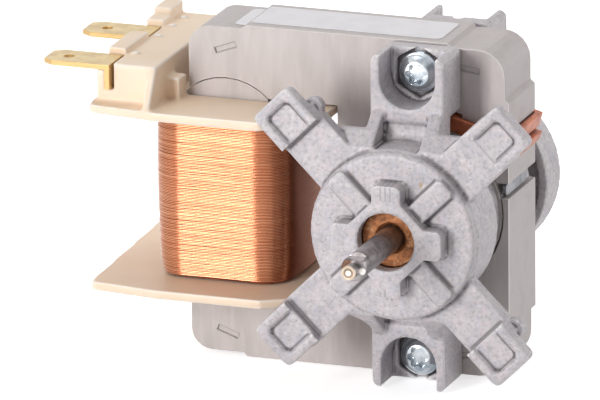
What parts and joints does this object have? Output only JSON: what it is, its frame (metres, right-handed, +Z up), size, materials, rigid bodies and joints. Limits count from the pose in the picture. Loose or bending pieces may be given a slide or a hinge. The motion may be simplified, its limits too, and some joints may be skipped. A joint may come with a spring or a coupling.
{
  "type": "oven fan motor",
  "caption": "Shaded-pole fan motor: laminated stack with a side coil on a moulded bobbin, die-cast bearing brackets with fixing arms, and a free-spinning shaft.",
  "frame": {"origin": "centre of the shaft's free end face", "axes": "-Y points out along the shaft away from the motor, +Z up with the terminals on top, +X away from the coil"},
  "size_m": [0.0829, 0.0649, 0.0542],
  "materials": {
    "die_cast_aluminium": "as cast, finely speckled",
    "lamination_steel": "matte punched sheet",
    "rotor_steel": "turned",
    "copper": "bare copper, dulled",
    "enamelled_wire": "lacquered copper wire",
    "cream_plastic": "moulded, satin",
    "tab_brass": "punched, bright edges",
    "sintered_bronze": "sintered, oily",
    "shaft_steel": "ground",
    "zinc_plate": "bright zinc plate",
    "spring_steel": "rolled strip",
    "felt": "pressed felt, oiled",
    "fibre": "hard fibre"
  },
  "bodies": {
    "stator": {"stator_stack": "lamination_steel", "coil_core": "lamination_steel", "magnetic_bridge": "spring_steel", "shading_ring_main_upper": "copper", "shading_ring_main_lower": "copper", "shading_ring_tip_upper": "copper", "shading_ring_tip_lower": "copper", "bobbin": "cream_plastic", "winding": "enamelled_wire", "terminal_front": "tab_brass", "terminal_rear": "tab_brass", "front_bracket": "die_cast_aluminium", "rear_bracket": "die_cast_aluminium", "front_bearing": "sintered_bronze", "rear_bearing": "sintered_bronze", "front_bearing_retainer": "spring_steel", "rear_bearing_retainer": "spring_steel", "front_oil_felt": "felt", "rear_oil_felt": "felt", "upper_screw": "zinc_plate", "lower_screw": "zinc_plate", "upper_nut": "zinc_plate", "lower_nut": "zinc_plate"},
    "rotor": {"shaft": "shaft_steel", "rotor_core": "rotor_steel", "rotor_cage": "die_cast_aluminium", "front_thrust_washer": "fibre", "rear_thrust_washer": "fibre", "front_rotor_spacer": "shaft_steel", "rear_rotor_spacer": "shaft_steel"}
  },
  "joints": [
    {"name": "rotor_spin", "type": "hinge", "parent": "stator", "child": "rotor", "pos_m": [0, 0.0364, 0], "axis": [0, -1, 0], "continuous": true}
  ]
}
